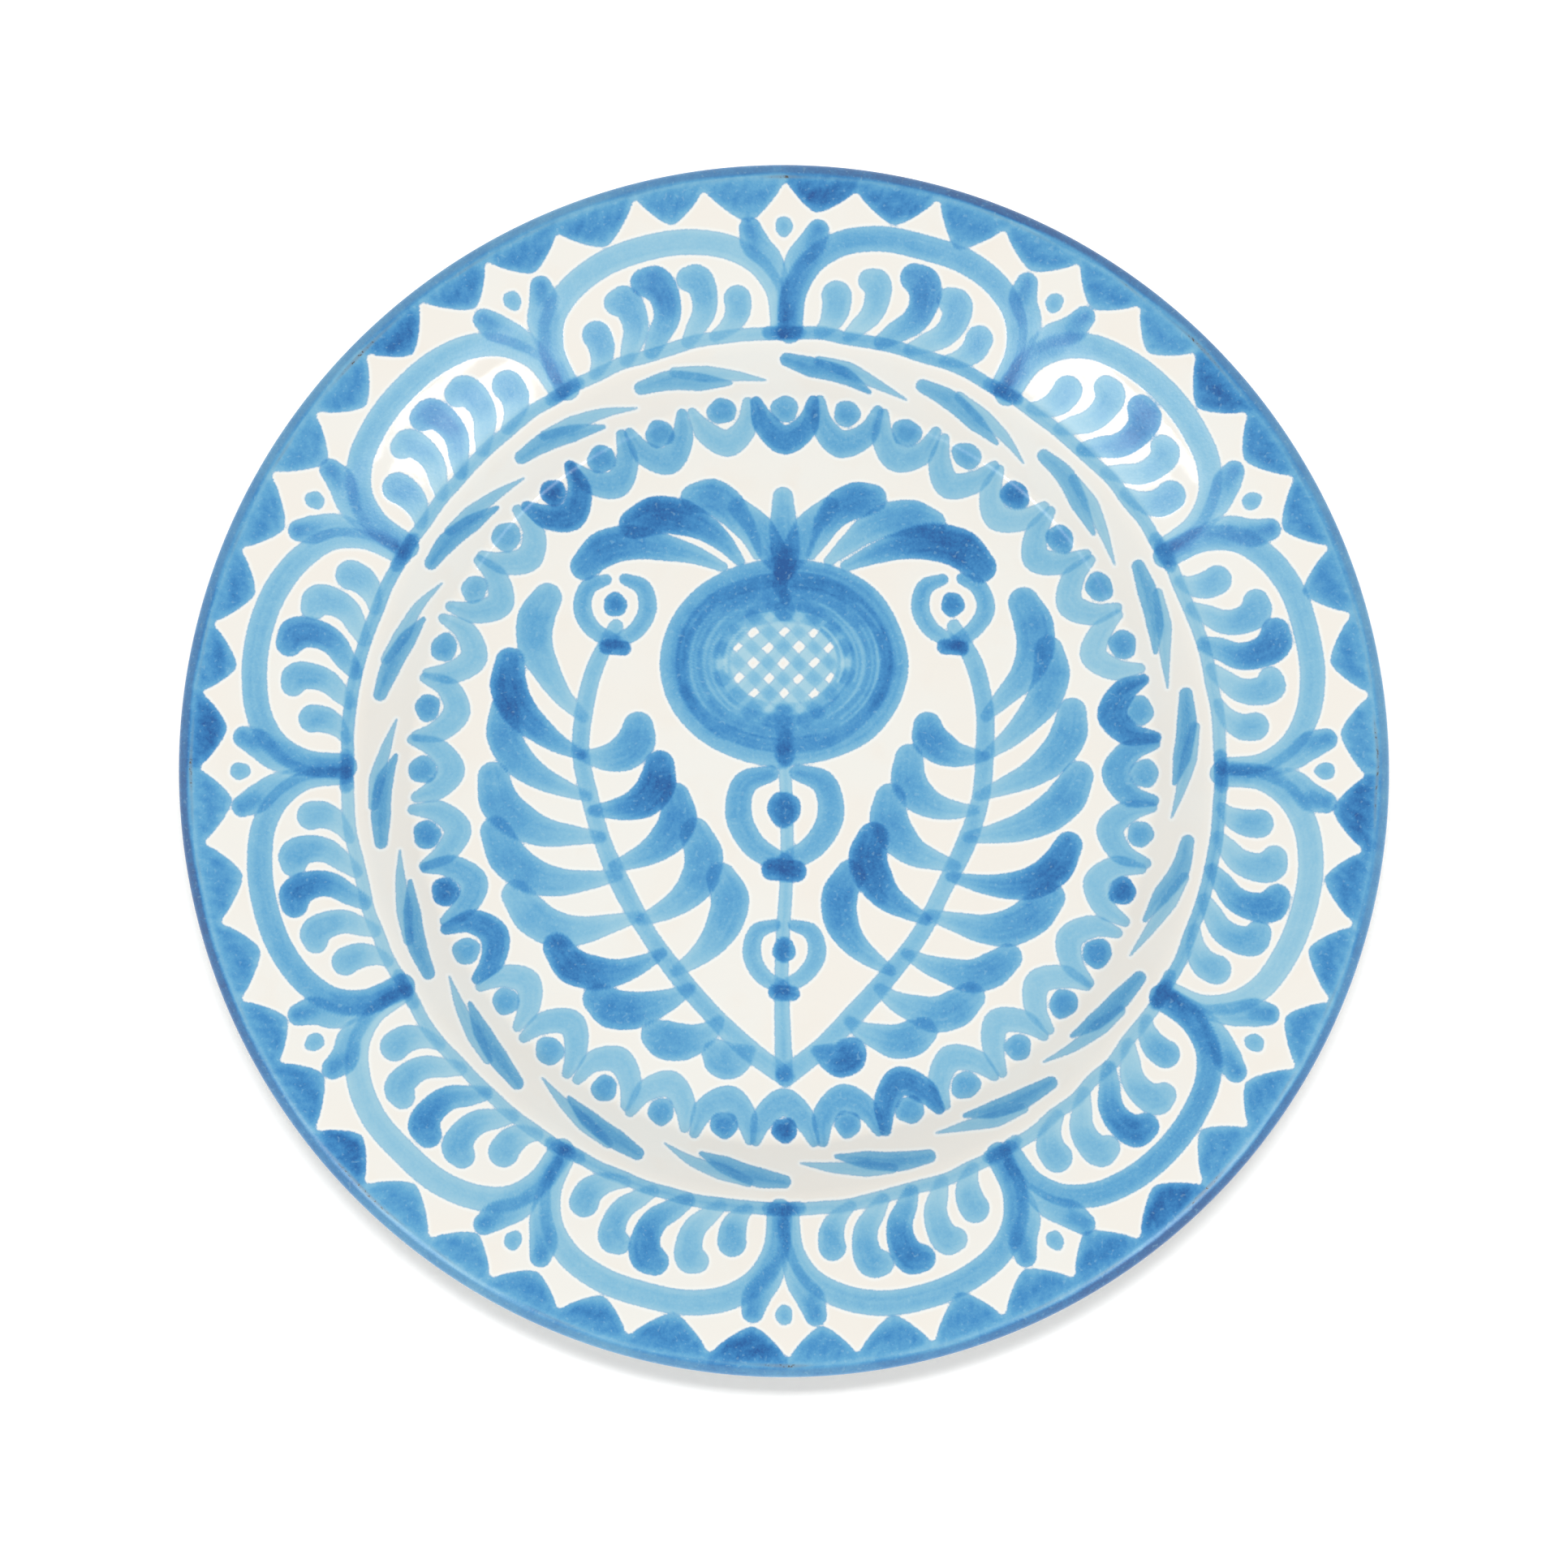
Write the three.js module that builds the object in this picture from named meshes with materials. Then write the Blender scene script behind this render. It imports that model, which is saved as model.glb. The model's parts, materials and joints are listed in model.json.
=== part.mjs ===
// A hand painted faience plate: a thrown clay body on a turned foot ring, a tin glaze fired over
// the face, the back and the foot's recess, and a cobalt blue band wrapped round the lip.
// Millimetres, +Z up. The origin is under the middle of the foot, on the surface it stands on.

import * as THREE from 'three';

// Driving dimensions.
const SEGMENTS = 64;              // facets round the plate
const RIM_RADIUS = 150;           // outermost point of the lip
const BAND_RADIUS = 146;          // where the blue lip band ends, on the face and on the back
const LIP_HEIGHT = 33;            // middle of the lip's rounded edge
const LIP_HALF_THICKNESS = 2.4;
const BRIM_EDGE = [111, 27.1];    // where the brim meets the shoulder of the well: radius, height
const WALL_TOP_RADIUS = 104;      // where the straight wall of the well turns into the shoulder
const WALL_SLOPE = 42;            // degrees
const FLOOR_RADIUS = 90;          // flat floor of the well
const FLOOR_HEIGHT = 12;          // glazed floor of the well
const WELL_FILLET = 5;            // radius between the floor and the wall
const BACK_SHOULDER = [114, 22.6];
const GLAZE = 0.5;                // thickness of every glaze coat
const FOOT_OUTER = 78;
const FOOT_INNER = 70.5;
const FOOT_DEPTH = 5.5;           // from the resting face up to the glazed recess
const FOOT_LAND = [72.2, 76.4];   // the unglazed flat that the plate rests on
const FOOT_BEVEL = 0.9;

// Handles of the cubic curves, which give the brim, the shoulder and the back their sweep.
const SHOULDER_HANDLES = [[106, 24.67], [108.6, 26.2]];
const BRIM_HANDLES = [[118, 29.6], [140, 35.2]];
const BACK_BRIM_HANDLES = [[134, 28.8], [122, 26]];
const BACK_WALL_HANDLES = [[106.5, 19.4], [99.5, 5.3]];

// A lathed solid about Z from a closed outline of [radius, height] points, anticlockwise
// with the radius to the right, so that its faces point out.
function turned(name, outline, material) {
  const points = outline.map(([r, z]) => new THREE.Vector2(r, z));
  const onAxis = outline[0][0] === 0;
  if (!onAxis) points.push(points[0].clone());
  const geometry = new THREE.LatheGeometry(points, SEGMENTS);
  geometry.rotateX(Math.PI / 2);
  const mesh = new THREE.Mesh(geometry, material);
  mesh.name = name;
  return mesh;
}

// Points along a cubic curve, without its first point.
function bend(from, [leave, arrive], to, steps) {
  const curve = new THREE.CubicBezierCurve(
    new THREE.Vector2(...from), new THREE.Vector2(...leave),
    new THREE.Vector2(...arrive), new THREE.Vector2(...to));
  return curve.getPoints(steps).slice(1).map((p) => [p.x, p.y]);
}

const raised = (points, dz) => points.map(([r, z]) => [r, z + dz]);
const backwards = (points) => [...points].reverse();

// The hollow round between the flat floor and the wall, from the floor up.
function wellFillet(steps) {
  return Array.from({ length: steps + 1 }, (_, i) => {
    const angle = THREE.MathUtils.degToRad(WALL_SLOPE * i / steps);
    return [
      FLOOR_RADIUS + WELL_FILLET * Math.sin(angle),
      FLOOR_HEIGHT + WELL_FILLET * (1 - Math.cos(angle)),
    ];
  });
}

// The glazed face from the middle out to the lip band.
function faceLine() {
  const fillet = wellFillet(4);
  const [wallRadius, wallHeight] = fillet.at(-1);
  const slope = Math.tan(THREE.MathUtils.degToRad(WALL_SLOPE));
  const wallTop = [WALL_TOP_RADIUS, wallHeight + (WALL_TOP_RADIUS - wallRadius) * slope];
  const lipEdge = [BAND_RADIUS, LIP_HEIGHT + LIP_HALF_THICKNESS];
  return [
    [0, FLOOR_HEIGHT],
    ...fillet,
    wallTop,
    ...bend(wallTop, SHOULDER_HANDLES, BRIM_EDGE, 3),
    ...bend(BRIM_EDGE, BRIM_HANDLES, lipEdge, 3),
  ];
}

// The glazed back from the lip band in to the root of the foot.
function backLine() {
  const lipEdge = [BAND_RADIUS, LIP_HEIGHT - LIP_HALF_THICKNESS];
  const footRoot = [FOOT_OUTER, FOOT_DEPTH];
  return [
    lipEdge,
    ...bend(lipEdge, BACK_BRIM_HANDLES, BACK_SHOULDER, 3),
    ...bend(BACK_SHOULDER, BACK_WALL_HANDLES, footRoot, 6),
  ];
}

// The lip's rounded edge, from the face over to the back; inset gives the clay under the band.
function lipLine(inset) {
  const steps = 6;
  const reach = RIM_RADIUS - BAND_RADIUS - inset;
  const half = LIP_HALF_THICKNESS - inset;
  return Array.from({ length: steps + 1 }, (_, i) => {
    const angle = Math.PI / 2 - Math.PI * i / steps;
    return [BAND_RADIUS + reach * Math.max(0, Math.cos(angle)), LIP_HEIGHT + half * Math.sin(angle)];
  });
}

// Materials.
const clay = new THREE.MeshStandardMaterial({ color: 0xc79a76, roughness: 0.85, metalness: 0 });
const whiteGlaze = new THREE.MeshStandardMaterial({ color: 0xf4efe6, roughness: 0.12, metalness: 0 });
const blueGlaze = new THREE.MeshStandardMaterial({ color: 0x3f7fbd, roughness: 0.18, metalness: 0 });

// The thrown disc: floor, wall, brim and lip in one wall of clay.
function clayBody() {
  const recess = FOOT_DEPTH + GLAZE;
  const face = raised(faceLine(), -GLAZE);
  const back = raised(backLine(), GLAZE);
  return turned('clay_body', backwards([
    ...face,
    ...lipLine(GLAZE).slice(1, -1),
    ...back,
    [FOOT_INNER, recess],
    [0, recess],
  ]), clay);
}

// The turned foot, left unglazed where it rests.
function footRing() {
  return turned('foot_ring', [
    [FOOT_LAND[0], 0],
    [FOOT_LAND[1], 0],
    [FOOT_LAND[1] + FOOT_BEVEL, FOOT_BEVEL],
    [FOOT_OUTER, FOOT_DEPTH],
    [FOOT_OUTER, FOOT_DEPTH + GLAZE],
    [FOOT_INNER, FOOT_DEPTH + GLAZE],
    [FOOT_INNER, FOOT_DEPTH],
    [FOOT_LAND[0] - FOOT_BEVEL, FOOT_BEVEL],
  ], clay);
}

// A coat of glaze between a line and the same line moved down by the coat's thickness.
function coat(name, line, material) {
  return turned(name, [...raised(line, -GLAZE), ...backwards(line)], material);
}

function faceGlaze() {
  return coat('face_glaze', faceLine(), whiteGlaze);
}

function backGlaze() {
  return coat('back_glaze', raised(backwards(backLine()), GLAZE), whiteGlaze);
}

function footRecessGlaze() {
  return coat('foot_recess_glaze', [
    [0, FOOT_DEPTH + GLAZE],
    [FOOT_INNER, FOOT_DEPTH + GLAZE],
  ], whiteGlaze);
}

// The blue band, a coat bent round the lip.
function lipBand() {
  return turned('lip_band', [...lipLine(GLAZE), ...backwards(lipLine(0))], blueGlaze);
}

const plate = new THREE.Group();
plate.add(clayBody(), footRing(), faceGlaze(), backGlaze(), footRecessGlaze(), lipBand());

export default plate;
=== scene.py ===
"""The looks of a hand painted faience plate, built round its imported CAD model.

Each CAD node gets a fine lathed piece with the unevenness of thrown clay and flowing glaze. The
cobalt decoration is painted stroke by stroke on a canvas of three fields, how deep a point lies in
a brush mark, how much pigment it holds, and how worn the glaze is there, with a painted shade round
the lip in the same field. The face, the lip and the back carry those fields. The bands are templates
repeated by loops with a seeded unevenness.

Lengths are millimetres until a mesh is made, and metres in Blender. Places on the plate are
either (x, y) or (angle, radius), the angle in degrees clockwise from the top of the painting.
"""

import json
import math

import bpy
import numpy as np
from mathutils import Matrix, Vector


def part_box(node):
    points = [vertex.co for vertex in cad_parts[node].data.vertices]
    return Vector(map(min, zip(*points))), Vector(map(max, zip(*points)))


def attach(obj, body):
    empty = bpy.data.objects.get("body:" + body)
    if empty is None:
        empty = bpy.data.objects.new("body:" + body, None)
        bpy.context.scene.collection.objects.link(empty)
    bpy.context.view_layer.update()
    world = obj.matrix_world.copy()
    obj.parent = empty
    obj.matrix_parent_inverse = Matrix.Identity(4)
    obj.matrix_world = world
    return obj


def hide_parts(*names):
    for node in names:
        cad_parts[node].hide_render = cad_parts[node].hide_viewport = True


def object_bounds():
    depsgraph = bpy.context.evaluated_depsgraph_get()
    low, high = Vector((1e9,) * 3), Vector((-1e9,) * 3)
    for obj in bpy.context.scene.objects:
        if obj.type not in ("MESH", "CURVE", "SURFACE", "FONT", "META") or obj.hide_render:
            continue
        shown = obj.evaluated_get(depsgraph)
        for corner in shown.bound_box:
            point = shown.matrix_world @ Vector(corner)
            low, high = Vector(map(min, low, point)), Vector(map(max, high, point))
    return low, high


MM = 0.001

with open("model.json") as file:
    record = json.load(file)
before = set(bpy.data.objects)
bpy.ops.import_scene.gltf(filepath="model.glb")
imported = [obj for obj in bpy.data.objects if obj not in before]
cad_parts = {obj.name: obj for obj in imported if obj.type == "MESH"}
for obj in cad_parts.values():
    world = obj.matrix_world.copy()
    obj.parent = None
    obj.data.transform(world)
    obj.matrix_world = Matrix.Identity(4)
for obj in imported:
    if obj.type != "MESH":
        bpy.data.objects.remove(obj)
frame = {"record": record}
cad_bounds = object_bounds()


# ---------------------------------------------------------------- sizes

RIM_RADIUS = cad_bounds[1].x / MM             # outermost point of the lip
CROWN_HEIGHT = cad_bounds[1].z / MM           # top of the lip
BAND_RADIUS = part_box("face_glaze")[1].x / MM  # where the lip band takes over from the face
FLOOR_HEIGHT = frame["record"]["mounts"][1]["pos_m"][2] / MM
FOOT_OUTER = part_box("foot_ring")[1].x / MM
FOOT_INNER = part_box("foot_recess_glaze")[1].x / MM
RECESS_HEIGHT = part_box("foot_recess_glaze")[0].z / MM
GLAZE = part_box("foot_recess_glaze")[1].z / MM - RECESS_HEIGHT
LIP_HALF_THICKNESS = 2.4
LIP_HEIGHT = CROWN_HEIGHT - LIP_HALF_THICKNESS
FLOOR_RADIUS = 90
WELL_FILLET = 5
WALL_SLOPE = math.radians(42)
WALL_TOP_RADIUS = 104
SHOULDER_HANDLES = ((106, 24.67), (108.6, 26.2))
BRIM_EDGE = (111, 27.1)
BRIM_HANDLES = ((118, 29.6), (140, 35.2))
BACK_BRIM_HANDLES = ((134, 28.8), (122, 26))
BACK_SHOULDER = (114, 22.6)
BACK_WALL_HANDLES = ((106.5, 19.4), (99.5, 5.3))
FOOT_LAND = (72.2, 76.4)
FOOT_BEVEL = 0.9


# ---------------------------------------------------------------- small helpers

def smooth(value, low, high):
    """0 below low, 1 above high, and an S-curve between."""
    share = np.clip((value - low) / (high - low), 0, 1)
    return share * share * (3 - 2 * share)


def waves(x, y, length, seed, count=9):
    """A smooth uneven field with swells of about that length, mostly between -1 and 1."""
    random = np.random.default_rng(seed)
    total = 0
    for _ in range(count):
        heading = random.uniform(0, 2 * math.pi)
        phase = random.uniform(0, 2 * math.pi)
        pitch = 2 * math.pi / (length * random.uniform(0.7, 1.4))
        total = total + np.cos(pitch * (x * math.cos(heading) + y * math.sin(heading)) + phase)
    return total / math.sqrt(count)


def at(angle, radius):
    """(x, y) of a point given as clockwise degrees from the top, and radius."""
    turn = math.radians(angle)
    return radius * math.sin(turn), radius * math.cos(turn)


def bend(start, handles, end, spacing):
    """Points along a cubic curve at about that spacing, without its first point."""
    count = max(2, round(math.dist(start, end) / spacing))
    t = np.linspace(0, 1, count + 1)[1:, None]
    corners = np.array([start, *handles, end], float)
    return ((1 - t) ** 3 * corners[0] + 3 * (1 - t) ** 2 * t * corners[1]
            + 3 * (1 - t) * t ** 2 * corners[2] + t ** 3 * corners[3])


def straight(start, end, spacing):
    """Points along a line at about that spacing, without its first point."""
    count = max(1, round(math.dist(start, end) / spacing))
    t = np.linspace(0, 1, count + 1)[1:, None]
    return np.array(start, float) * (1 - t) + np.array(end, float) * t


def add_object(name, data):
    """A new object with that mesh, lamp or camera, in the scene."""
    made = bpy.data.objects.new(name, data)
    bpy.context.scene.collection.objects.link(made)
    return made


# ---------------------------------------------------------------- the painter's canvas

CANVAS_REACH = 160      # the canvas runs this far each way from the middle
CANVAS_STEP = 0.25
HALO = 3.0              # how far outside a stroke its distance is still known


def follow(points, step=0.8):
    """A brush path through (x, y, width, load) points, as close-set (x, y, half width, load)."""
    marks = np.array(points, float)
    gaps = np.hypot(*np.diff(marks[:, :2], axis=0).T)
    places = np.concatenate([[0], np.cumsum(gaps)])
    lean = np.gradient(marks[:, :2], places, axis=0)
    steps = np.linspace(0, places[-1], max(4, round(places[-1] / step)))
    k = np.clip(np.searchsorted(places, steps, side="right") - 1, 0, len(gaps) - 1)
    gap = gaps[k][:, None]
    u = (steps - places[k])[:, None] / gap
    here = ((1 + 2 * u) * (1 - u) ** 2 * marks[k, :2] + u * (1 - u) ** 2 * gap * lean[k]
            + u * u * (3 - 2 * u) * marks[k + 1, :2] + u * u * (u - 1) * gap * lean[k + 1])
    half_width = np.interp(steps, places, marks[:, 2]) / 2
    load = np.interp(steps, places, marks[:, 3])
    return np.column_stack([here, half_width, load])


class Canvas:
    """Three fields over the plate, seen from above: how deep each point lies inside a brush mark,
    in mm and negative outside, how much bare glaze still shows through the pigment, and how worn
    the glaze is, with a painted shade round the lip in the same field. Once the painting is
    finished, a fourth gives the pigment itself."""

    def __init__(self):
        count = round(2 * CANVAS_REACH / CANVAS_STEP) + 1
        self.axis = np.linspace(-CANVAS_REACH, CANVAS_REACH, count)
        self.edge = np.full((count, count), -HALO, np.float32)
        self.clear = np.ones((count, count), np.float32)
        self.worn_and_shade = np.zeros((count, count), np.float32)
        self.random = np.random.default_rng(11)

    def window(self, low_x, high_x, low_y, high_y):
        columns = slice(*np.searchsorted(self.axis, (low_x, high_x)))
        rows = slice(*np.searchsorted(self.axis, (low_y, high_y)))
        return rows, columns

    def trace(self, path, margin=HALO):
        """The area round a brush path, and the depth, load and sideways place of its points."""
        reach = path[:, 2].max() + margin
        low = path[:, :2].min(0) - reach
        high = path[:, :2].max(0) + reach
        area = self.window(low[0], high[0], low[1], high[1])
        x = self.axis[area[1]]
        y = self.axis[area[0]]
        depth = np.full((len(y), len(x)), -HALO, np.float32)
        load = np.zeros_like(depth)
        side = np.zeros_like(depth)
        for start, end in zip(path[:-1], path[1:]):
            room = max(start[2], end[2]) + HALO
            low_x, high_x = sorted((start[0], end[0]))
            low_y, high_y = sorted((start[1], end[1]))
            j = slice(*np.searchsorted(x, (low_x - room, high_x + room)))
            i = slice(*np.searchsorted(y, (low_y - room, high_y + room)))
            run = end - start
            length = math.hypot(run[0], run[1]) + 1e-6
            px = x[None, j] - start[0]
            py = y[i, None] - start[1]
            t = np.clip((px * run[0] + py * run[1]) / length ** 2, 0, 1)
            inside = start[2] + run[2] * t - np.hypot(px - t * run[0], py - t * run[1])
            nearer = inside > depth[i, j]
            depth[i, j] = np.where(nearer, inside, depth[i, j])
            load[i, j] = np.where(nearer, start[3] + run[3] * t, load[i, j])
            side[i, j] = np.where(nearer, (px * run[1] - py * run[0]) / length, side[i, j])
        return area, depth, load, side

    def lay(self, area, depth, load, streaks=0):
        """Adds one mark: its pigment pools towards its middle, and overlaps what is there."""
        pooled = load * (0.76 + 0.25 * smooth(depth, 0, 2.2)) * (1 + streaks)
        self.clear[area] *= 1 - np.clip(pooled, 0, 0.97) * smooth(depth, -0.22, 0.22)
        self.edge[area] = np.maximum(self.edge[area], np.minimum(depth, HALO))

    def stroke(self, points):
        """A brush stroke through (x, y, width, load) points."""
        area, depth, load, side = self.trace(follow(points))
        phase = self.random.uniform(0, 2 * math.pi, 3)
        bristles = (np.sin(side * 2.3 + phase[0]) + np.sin(side * 3.9 + phase[1])
                    + np.sin(side * 5.3 + phase[2]))
        self.lay(area, depth, load, 0.022 * bristles)

    def pool(self, points):
        """Pigment that gathered inside a mark, with no edge of its own."""
        path = follow(points)
        area, depth, load, _ = self.trace(path)
        self.clear[area] *= 1 - load * smooth(depth, 0, path[:, 2].max())

    def dab(self, x, y, width, height, load, turn=0):
        """A single touch of the brush, wider than high by as much as given, turned clockwise."""
        reach = max(width, height) / 2 + HALO
        area = self.window(x - reach, x + reach, y - reach, y + reach)
        px = self.axis[area[1]][None, :] - x
        py = self.axis[area[0]][:, None] - y
        turn = math.radians(turn)
        along = px * math.cos(turn) - py * math.sin(turn)
        across = px * math.sin(turn) + py * math.cos(turn)
        wobble = self.random.uniform(0, 2 * math.pi, 2)
        bearing = np.arctan2(across, along)
        shape = 1 + 0.035 * np.sin(3 * bearing + wobble[0]) + 0.025 * np.sin(5 * bearing + wobble[1])
        reached = np.hypot(along / (width / 2), across / (height / 2)) / shape
        self.lay(area, (1 - reached) * (width + height) / 4, load)

    def thin(self, points, share):
        """A line where two strokes meet and the pigment is thinner, along (x, y, width) points."""
        area, depth, _, _ = self.trace(follow([(*point, 0) for point in points], 0.4))
        self.clear[area] += (1 - self.clear[area]) * share * smooth(depth, -0.15, 0.25)

    def finish(self):
        """Carries each mark's pigment a little past its edge, so that edges stay clean when the
        fields are read between points."""
        ink = 1 - self.clear
        marked = (self.edge > 0.1).astype(np.float32)
        spread = ink * marked
        weight = marked
        for _ in range(3):
            spread = soften(spread)
            weight = soften(weight)
        self.ink = np.where(marked > 0, ink, spread / np.maximum(weight, 1e-3))

    def read(self, field, x, y):
        """A field's values at the points x, y."""
        column = np.clip((x + CANVAS_REACH) / CANVAS_STEP, 0, len(self.axis) - 1.001)
        row = np.clip((y + CANVAS_REACH) / CANVAS_STEP, 0, len(self.axis) - 1.001)
        j = column.astype(int)
        i = row.astype(int)
        u = column - j
        v = row - i
        return ((field[i, j] * (1 - u) + field[i, j + 1] * u) * (1 - v)
                + (field[i + 1, j] * (1 - u) + field[i + 1, j + 1] * u) * v)


def soften(field):
    """The field averaged over five cells each way."""
    for axis in (0, 1):
        field = sum(np.roll(field, shift, axis) for shift in range(-2, 3)) / 5
    return field


def polar(points, load, width=None):
    """(x, y, width, load) from (angle, radius) or (angle, radius, width) points."""
    return [(*at(angle, radius), rest[0] if rest else width, load) for angle, radius, *rest in points]


def loaded(points, first, last=None):
    """(x, y, width, load) from (x, y, width) points, the load running out from first to last."""
    last = first if last is None else last
    loads = np.linspace(first, last, len(points))
    return [(x, y, width, load) for (x, y, width), load in zip(points, loads)]


# ---------------------------------------------------------------- an uneven hand

HAND = np.random.default_rng(23)


def near(value, spread):
    """A value as an unsteady hand puts it down: off by up to the spread."""
    return value + HAND.uniform(-spread, spread)


def fresh(k, strokes, pale, dark):
    """The load of stroke k, when the brush is dipped again every so many strokes."""
    return near(pale + (dark - pale) * math.exp(-(k % strokes) / 1.3), 0.05)


# ---------------------------------------------------------------- the border, in angle and radius

BORDER_POINTS = 48
GAP_RADIUS = 145.2      # where the sharp gaps between the points end
TIP_RADIUS = 137.2
BORDER_REACH = 152      # where the border's pigment stops, past the rim
BAND_INNER = 147.3
BAND_OUTER = 155.5      # on the back, which the canvas folds out past the rim
DARK_LINE = 149.1       # where the pigment of the band gathers
RUBBED_LINE = 147.0     # where the banding brush wore the glaze
ARCHES = 12
ARCH_STEP = 360 / ARCHES
WELL_LINE = 108.6       # the line round the well
ARCH_FOOT = 109         # just outside it, where the arches stand
ARCH_RISE = 24.6
ARCH_HALF = 14.4        # degrees
LEAVES_EACH_SIDE = 2    # comma leaves beside the middle one, under each arch

# Places where the rubbed line round the lip is speckled, and how many degrees each spreads.
SPECKLED = [(45 * k, 2 + k % 3) for k in range(8)]

# Where the banding brush was most heavily loaded, in the same way.
LADEN = [(120 * k + 20, 28) for k in range(3)]


def near_places(bearing, places):
    """How close each bearing is to any of the places, each (degrees, spread), from 0 up."""
    return sum(np.exp(-(((bearing - place + 180) % 360 - 180) / spread) ** 2) for place, spread in places)


def border_line():
    """The border's inner outline, as (angle, radius, load): round tips between sharp gaps."""
    pitch = 360 / BORDER_POINTS
    gaps = [(near(k * pitch, 0.5), near(GAP_RADIUS, 1.4)) for k in range(BORDER_POINTS)]
    outline = []
    for k, (gap, gap_radius) in enumerate(gaps):
        next_gap, next_radius = gaps[(k + 1) % BORDER_POINTS]
        if next_gap < gap:
            next_gap += 360
        tip = near((gap + next_gap) / 2, 0.4)
        tip_radius = near(TIP_RADIUS, 1.3)
        load = fresh(k, 6, 0.48, 0.95)
        sides = ((gap, gap_radius, (0.98, 0.8, 0.6, 0.4, 0.2)),
                 (next_gap, next_radius, (0, 0.2, 0.4, 0.6, 0.8, 0.98)))
        for end, end_radius, shares in sides:
            for share in shares:
                outline.append((tip + (end - tip) * share,
                                tip_radius + (end_radius - tip_radius) * share ** 1.5, load))
    return outline


def paint_border(canvas):
    """The blue band's points, which reach in from the lip with rounded tips."""
    outline = border_line()
    angles, radii, loads = np.array(outline).T
    path = follow([(*at(angle, radius), 0, load) for angle, radius, load in outline + outline[:1]])
    area, depth, _, _ = canvas.trace(path, 12)
    x = canvas.axis[area[1]][None, :]
    y = canvas.axis[area[0]][:, None]
    radius = np.hypot(x, y)
    bearing = np.degrees(np.arctan2(x, y))
    inside = radius > np.interp(bearing, angles, radii, period=360)
    load = 0.43 + 0.42 * np.interp(bearing, angles, loads, period=360)
    load *= (0.90 + 0.18 * np.exp(-((radius - 142.5) / 2.6) ** 2)
             + 0.05 * waves(bearing * 2.4, radius * 0.6, 2.2, 9))
    load *= 1 - 0.22 * smooth(radius, 145.5, 147.5) - 0.30 * smooth(radius, 147.5, 149)
    canvas.lay(area, np.minimum(np.where(inside, -depth, depth), BORDER_REACH - radius), load)


def paint_lip(canvas):
    """The band round the lip. On the canvas the plate's back is folded out past its rim. A grey
    line, speckled in places, is left where the banding brush rubbed the glaze. The whole band is also
    greyed by a painted shade, for the rounded lip that turns away from the light."""
    x = canvas.axis[None, :]
    y = canvas.axis[:, None]
    radius = np.hypot(x, y)
    bearing = np.degrees(np.arctan2(x, y)) % 360
    inner = BAND_INNER + 0.35 * waves(x, y, 26, 3)
    outer = BAND_OUTER + 0.9 * waves(x, y, 34, 4) + 0.3 * waves(x, y, 9, 5)
    everywhere = (slice(None), slice(None))
    canvas.lay(everywhere, np.minimum(radius - inner, outer - radius), 0.36 + 0.08 * waves(x, y, 18, 6))
    dark_line = smooth(1.7 - np.abs(radius - DARK_LINE - 0.2 * waves(x, y, 30, 8)), 0, 0.8)
    canvas.clear *= 1 - (0.14 + 0.80 * np.clip(near_places(bearing, LADEN), 0, 1)) * dark_line
    rubbed = np.exp(-((radius - RUBBED_LINE - 0.2 * waves(x, y, 21, 12)) / 0.5) ** 2)
    speckled = near_places(bearing, SPECKLED)
    # painted shade: greys the whole lip band, where the rounded lip turns away from the light
    lip_shade = 0.7 * smooth(radius, 147, 148.4) * (1 - smooth(radius, 152, 155))
    canvas.worn_and_shade = np.maximum(lip_shade, rubbed * np.clip(0.45 + 0.25 * waves(x, y, 16, 13) + speckled, 0, 1.5))


def brush_comma(canvas, head, head_radius, width, tail, tail_radius, load):
    """One leaf: the brush comes down in a round head that leans anticlockwise, and swings out
    clockwise before it lifts at the tail."""
    x, y = at(head, head_radius)
    turn = math.radians(head)
    length = head_radius - tail_radius
    drift = math.radians(tail - head) * (head_radius + tail_radius) / 2

    def point(sideways, inward, share, load):
        """Mm clockwise and inward from the head, a share of the width, and a load."""
        return (x + sideways * math.cos(turn) - inward * math.sin(turn),
                y - sideways * math.sin(turn) - inward * math.cos(turn), width * share, load)

    hook = smooth(head_radius, 117, 125)
    belly = (0.08 + 0.16 * hook) * width
    canvas.stroke([
        point(-0.24 * width * hook, (0.04 - 0.19 * hook) * width, 0.86 - 0.06 * hook, load * 0.84),
        point(0.03 * width, -0.06 * width, 1.06 - 0.08 * hook, load * 0.92),
        point(belly + 0.06 * drift, 0.28 * length, 1.00 - 0.18 * hook, load * 0.90),
        point(belly + 0.25 * drift, 0.55 * length, 0.86 - 0.12 * hook, load * 0.78),
        point(0.06 * width + 0.60 * drift, 0.80 * length, 0.62, load * 0.62),
        point(drift, length, 0.44, load * 0.50),
    ])
    canvas.pool([point(0, 0.1 * width, 0.8, load * 0.16), point(belly, 0.4 * length, 0.8, load * 0.14)])


def brush_arch(canvas, middle, load):
    """One arch: loaded where it starts, thin and pale where it runs out."""
    half = near(ARCH_HALF, 0.3)
    rise = near(ARCH_RISE, 0.9)
    last = 10
    marks = []
    for k in range(last + 1):
        along = math.cos(math.pi * k / last)
        angle = middle - half * math.copysign(abs(along) ** 0.85, along)
        radius = ARCH_FOOT + rise * math.sin(math.pi * k / last) ** 0.75
        width = 5.8 * (1.1 - 0.32 * smooth(k / last, 0.62, 1))
        marks.append((*at(angle, near(radius, 0.3)), width, load * (1.16 - 0.34 * k / last)))
    canvas.stroke(marks)
    canvas.pool([(x, y, width, 0.36 * load) for x, y, width, _ in marks[:3]])


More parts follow.
